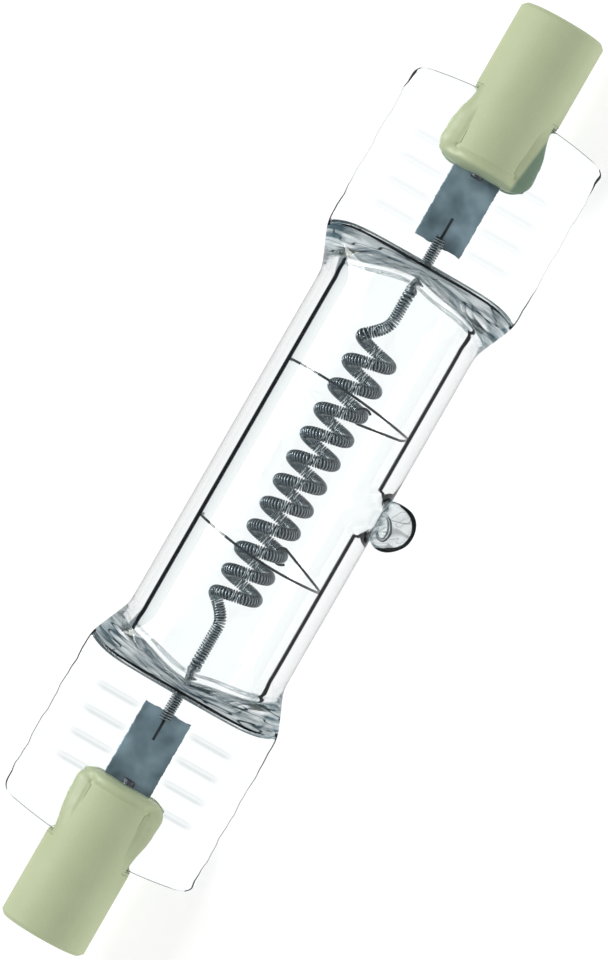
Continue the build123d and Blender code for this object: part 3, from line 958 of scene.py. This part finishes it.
def steatite():
    """Fired steatite, pressed and unglazed: chalky pale yellow-green, finely grained, slightly patchy."""
    material, tree = new_material("steatite")
    place = add(tree, "TexCoord").outputs["Object"]
    grain_mm, patch_mm = 0.12, 2.5
    grain = add(tree, "TexNoise", {"Vector": place, "Scale": 1 / (grain_mm * MM), "Detail": 3.0})
    patch = add(tree, "TexNoise", {"Vector": place, "Scale": 1 / (patch_mm * MM), "Detail": 4.0})
    tone = add(tree, "Mix", {"Factor": patch, 6: "C8D4A8", 7: "D3DEB6"}, data_type="RGBA").outputs[2]
    speck = add(tree, "MapRange", {
        "Value": grain, "From Min": 0.35, "From Max": 0.65, "To Min": 0.975, "To Max": 1.015,
    })
    colour = add(tree, "VectorMath", {0: tone, "Scale": speck}, operation="SCALE")
    bump = add(tree, "Bump", {"Strength": 0.25, "Distance": 0.02 * MM, "Height": grain})
    body = add(tree, "BsdfPrincipled", {"Base Color": colour, "Roughness": 0.62, "IOR": 1.5, "Normal": bump})
    return shown(material, body)


def basing_cement():
    """Basing cement, brushed on and baked: grey-green, sandy, with random darker patches and painted shade by
    the tip.
    """
    material, tree = new_material("basing_cement")
    place = add(tree, "TexCoord").outputs["Object"]
    grain_mm, patch_mm = 0.6, 3.5
    grain = add(tree, "TexNoise", {"Vector": place, "Scale": 1 / (grain_mm * MM), "Detail": 5.0})
    patch = add(tree, "TexNoise", {"Vector": place, "Scale": 1 / (patch_mm * MM), "Detail": 2.0})
    # Painted shade on the right end's cement, by the tip and in front of its ear, with random darker patches
    shade_and_patches = add(tree, "Attribute", attribute_name="damp").outputs["Fac"]
    shade_and_patches = add(tree, "Math", {0: patch, 1: 0.3, 2: shade_and_patches}, operation="MULTIPLY_ADD")
    damp = add(tree, "MapRange", {"Value": shade_and_patches, "From Min": 0.14, "From Max": 1.1})
    dry = add(tree, "Mix", {"Factor": grain, 6: "C4D0A4", 7: "D1DCB3"}, data_type="RGBA").outputs[2]
    tone = add(tree, "Mix", {"Factor": damp, 6: dry, 7: "7F9A82"}, data_type="RGBA").outputs[2]
    bump = add(tree, "Bump", {"Strength": 0.3, "Distance": 0.05 * MM, "Height": grain})
    body = add(tree, "BsdfPrincipled", {"Base Color": tone, "Roughness": 0.4, "Normal": bump})
    return shown(material, body)


def drawn_tungsten():
    """Drawn tungsten wire: nearly black, with a painted highlight on the outside of the winding, slightly
    patchy.
    """
    material, tree = new_material("drawn_tungsten")
    place = add(tree, "TexCoord").outputs["Object"]
    patch_mm = 0.28
    patch = add(tree, "TexNoise", {"Vector": place, "Scale": 1 / (patch_mm * MM), "Detail": 3.0})
    # Painted highlight: the outside of each turn of the winding is painted bright, its grooves stay dark as
    # painted shade, with random patches
    crest = add(tree, "Attribute", attribute_name="crest").outputs["Fac"]
    crest_light = add(tree, "Math", {0: patch, 1: 0.9, 2: crest}, operation="MULTIPLY_ADD")
    crest_light = add(tree, "MapRange", {"Value": crest_light, "From Min": 0.76, "From Max": 1.46})
    tone = add(tree, "Mix", {"Factor": crest_light, 6: "2A2D30", 7: "A0A8AB"}, data_type="RGBA").outputs[2]
    body = add(tree, "BsdfPrincipled", {"Base Color": tone, "Metallic": 1.0, "Roughness": 0.3})
    return shown(material, body)


def molybdenum_foil():
    """Etched molybdenum foil sealed in quartz: slate grey, cloudy, with a satin shine."""
    material, tree = new_material("molybdenum_foil")
    place = add(tree, "TexCoord").outputs["Object"]
    cloud_mm = 2.2
    cloud = add(tree, "TexNoise", {"Vector": place, "Scale": 1 / (cloud_mm * MM), "Detail": 2.0})
    cloud = add(tree, "MapRange", {"Value": cloud, "From Min": 0.3, "From Max": 0.7})
    tone = add(tree, "Mix", {"Factor": cloud, 6: "4E6068", 7: "91A6AF"}, data_type="RGBA").outputs[2]
    body = add(tree, "BsdfPrincipled", {"Base Color": tone, "Metallic": 0.25, "Roughness": 0.5})
    return shown(material, body)


def molybdenum_wire():
    """Drawn molybdenum wire, oxidised in sealing: nearly black grey metal, streaked along its length."""
    material, tree = new_material("molybdenum_wire")
    place = add(tree, "TexCoord").outputs["Object"]
    streak_mm, streak_stretch = 0.08, 12
    drawn = add(tree, "VectorMath", {0: place, 1: (1 / streak_stretch, 1, 1)}, operation="MULTIPLY")
    streak = add(tree, "TexNoise", {"Vector": drawn, "Scale": 1 / (streak_mm * MM), "Detail": 3.0})
    tone = add(tree, "Mix", {"Factor": streak, 6: "34353A", 7: "64666A"}, data_type="RGBA").outputs[2]
    body = add(tree, "BsdfPrincipled", {"Base Color": tone, "Metallic": 1.0, "Roughness": 0.4})
    return shown(material, body)


def nickel_plate():
    """Nickel-plated steel contact, turned: pale warm metal with fine rings from the lathe."""
    material, tree = new_material("nickel_plate")
    place = add(tree, "TexCoord").outputs["Object"]
    ring_mm = 0.12
    scale = 0.3 / (ring_mm * MM)
    rings = add(tree, "TexWave", {"Vector": place, "Scale": scale}, wave_type="RINGS", rings_direction="X")
    bump = add(tree, "Bump", {"Strength": 0.15, "Distance": 0.01 * MM, "Height": rings})
    body = add(tree, "BsdfPrincipled", {
        "Base Color": "B9B4A6", "Metallic": 1.0, "Roughness": 0.3, "Normal": bump,
    })
    return shown(material, body)


def seen_in_glass(tree):
    """The light path, and whether it was mirrored or came through glass."""
    path = add(tree, "LightPath").outputs
    through, mirrored = path["Is Transmission Ray"], path["Is Glossy Ray"]
    return path, add(tree, "Math", {0: through, 1: mirrored}, operation="MAXIMUM")


def white_card():
    """White card under the lamp.

    Seen straight on it is white with a soft shadow. Seen through glass it ends not far from the lamp and is a
    little over white, to make up for what the glass walls reflect. Mirrored in glass and metal it is dimmer.
    """
    material, tree = new_material("white_card")
    place = add(tree, "TexCoord").outputs["Object"]
    path, seen = seen_in_glass(tree)
    reach = add(tree, "VectorMath", {0: place}, operation="LENGTH").outputs["Value"]
    card = add(tree, "MapRange", {
        "Value": reach, "From Min": CARD_R, "From Max": 1.4 * CARD_R, "To Min": 1.07, "To Max": 0.4,
    }, interpolation_type="SMOOTHSTEP")
    dim = add(tree, "MapRange", {"Value": path["Is Reflection Ray"], "To Min": 1.0, "To Max": 0.5})
    card = add(tree, "Math", {0: card, 1: dim}, operation="MULTIPLY")
    mirrored = add(tree, "Emission", {"Strength": card})
    paper = add(tree, "BsdfDiffuse", {"Color": (0.3, 0.3, 0.3, 1)})
    lift = add(tree, "MapRange", {"Value": path["Is Camera Ray"], "To Min": 0.8, "To Max": 0.82})
    direct = add(tree, "AddShader", {0: paper, 1: add(tree, "Emission", {"Strength": lift})})
    return shown(material, add(tree, "MixShader", {0: seen, 1: direct, 2: mirrored}))


# Pieces

quartz = fused_quartz()
ceramic = steatite()
cement = basing_cement()
tungsten = drawn_tungsten()
foil_metal = molybdenum_foil()
lead_metal = molybdenum_wire()
contact_metal = nickel_plate()

outside, inside = glass_outside(), glass_inside()
outer_blank, inner_blank = np.zeros(outside[..., 0].size), np.zeros(inside[..., 0].size)
crease_over, crease_along = crease_place(outside)
bore_wall = np.abs(inside[..., 0].ravel()) < CAVITY_CORNER[0] - 0.5
piece(
    "quartz", [grid(outside), grid(inside, hollow=True)], quartz, "quartz", "quartz_envelope",
    dark_from=np.concatenate([outside_lines(outside), inside_lines(inside)]),
    veil=np.concatenate([veil(outside), inner_blank]),
    haze=np.concatenate([haze(outside), inner_blank]),
    crease_over=np.concatenate([crease_over, inner_blank]),
    crease_along=np.concatenate([crease_along, inner_blank]),
    bore=np.concatenate([outer_blank, bore_wall]),
)
winding = strand()
# Where the filament's highlight is painted: 1 on the outside of the winding, down to -1 in its grooves, where
# shade is painted
crest = np.tile(np.cos(np.linspace(0, 2 * pi, STRAND_SIDES, endpoint=False)), len(winding))
piece("filament_strand", [grid(winding)], tungsten, "tungsten", "filament", crest=crest)
for side, way in SIDES.items():
    flip = (way, 1, 1)
    path = ring_path(side)
    ring = wire(path, RING_WIRE_R, *square_to(path, np.array((0.6, 0.0, 0.8))), 12)
    piece("support_wire_" + side, [grid(ring)], tungsten, "tungsten", "support_ring_" + side)
    core = lead_rod(CORE_STARTS[side], CORE_END, CORE_R) * flip
    piece("core_wire_" + side, [grid(core)], lead_metal, "molybdenum_wire", "inner_lead_" + side)
    lead = lead_rod(OUTER_LEAD_START, CONTACT_BACK, OUTER_LEAD_R) * flip
    piece("lead_wire_" + side, [grid(lead)], lead_metal, "molybdenum_wire", "outer_lead_" + side)
    piece("seal_foil_" + side, [grid(foil_sheet() * flip)], foil_metal, "molybdenum_foil", "foil_" + side)
    shells = [grid(part * flip) for part in (collar(side, 1), collar(side, -1), *filling())]
    damp = dampness(np.concatenate([points for points, _ in shells]))
    piece("cement_collar_" + side, shells, cement, "cement", "cement_" + side, damp=damp)
    button = grid(contact_button() * flip)
    piece("contact_button_" + side, [button], contact_metal, "contact_metal", "contact_" + side)
for side in SIDES:
    bevelled_base(side, ceramic)

# Stage: world, floor, camera and lights


def studio_world():
    """White to the camera, dark where glass and metal look past the card, even soft light on all else."""
    world = bpy.data.worlds.new("studio")
    world.use_nodes = True
    tree = world.node_tree
    tree.nodes.clear()
    path, seen = seen_in_glass(tree)
    up = add(tree, "SeparateXYZ", {0: add(tree, "TexCoord").outputs["Generated"]}).outputs["Z"]
    above = add(tree, "MapRange", {
        "Value": up, "From Min": 0.45, "From Max": 0.85, "To Min": 0.4, "To Max": 0.95,
    }, interpolation_type="SMOOTHSTEP")
    dim = add(tree, "MapRange", {"Value": path["Is Reflection Ray"], "To Min": 1.0, "To Max": 0.6})
    above = add(tree, "Math", {0: above, 1: dim}, operation="MULTIPLY")
    soft = add(tree, "Mix", {"Factor": seen, "A": 0.35, "B": above}, data_type="FLOAT")
    strength = add(tree, "Math", {0: soft, 1: path["Is Camera Ray"]}, operation="MAXIMUM")
    tint = add(tree, "Mix", {"Factor": seen, 6: "FFFFFF", 7: "CFE0EA"}, data_type="RGBA").outputs[2]
    add(tree, "OutputWorld", {"Surface": add(tree, "Background", {"Color": tint, "Strength": strength})})
    bpy.context.scene.world = world


def floor():
    """A large sheet just under the lamp."""
    low = cad_box[0].z
    mesh = bpy.data.meshes.new("floor")
    corners = [(x * FLOOR_HALF, y * FLOOR_HALF, low) for x, y in ((-1, -1), (1, -1), (1, 1), (-1, 1))]
    mesh.from_pydata(corners, [], [(0, 1, 2, 3)])
    mesh.materials.append(white_card())
    new_object("floor", mesh)


def camera():
    """Camera square to the flats, almost over the lamp's middle."""
    data = bpy.data.cameras.new("camera")
    data.lens = LENS
    data.clip_start = 0.01
    made = new_object("camera", data)
    aim = Matrix((VIEW_RIGHT, VIEW_UP, VIEW_BACK)).transposed().to_4x4()
    place = VIEW_BACK * VIEW_DISTANCE - LAMP @ Vector((0, VIEW_ASIDE, 0))
    made.matrix_world = Matrix.Translation(place) @ aim
    bpy.context.scene.camera = made


def soft_light(name, place, size, power):
    """A square soft light aimed at the lamp."""
    data = bpy.data.lights.new(name, "AREA")
    data.size = size
    data.energy = power
    made = new_object(name, data)
    made.location = VIEW_RIGHT * place[0] + VIEW_UP * place[1] + VIEW_BACK * place[2]
    made.rotation_euler = made.location.to_track_quat("Z", "Y").to_euler()


studio_world()
floor()
camera()
for name, values in LIGHTS.items():
    soft_light(name, *values)
bpy.context.scene.view_settings.view_transform = "Standard"
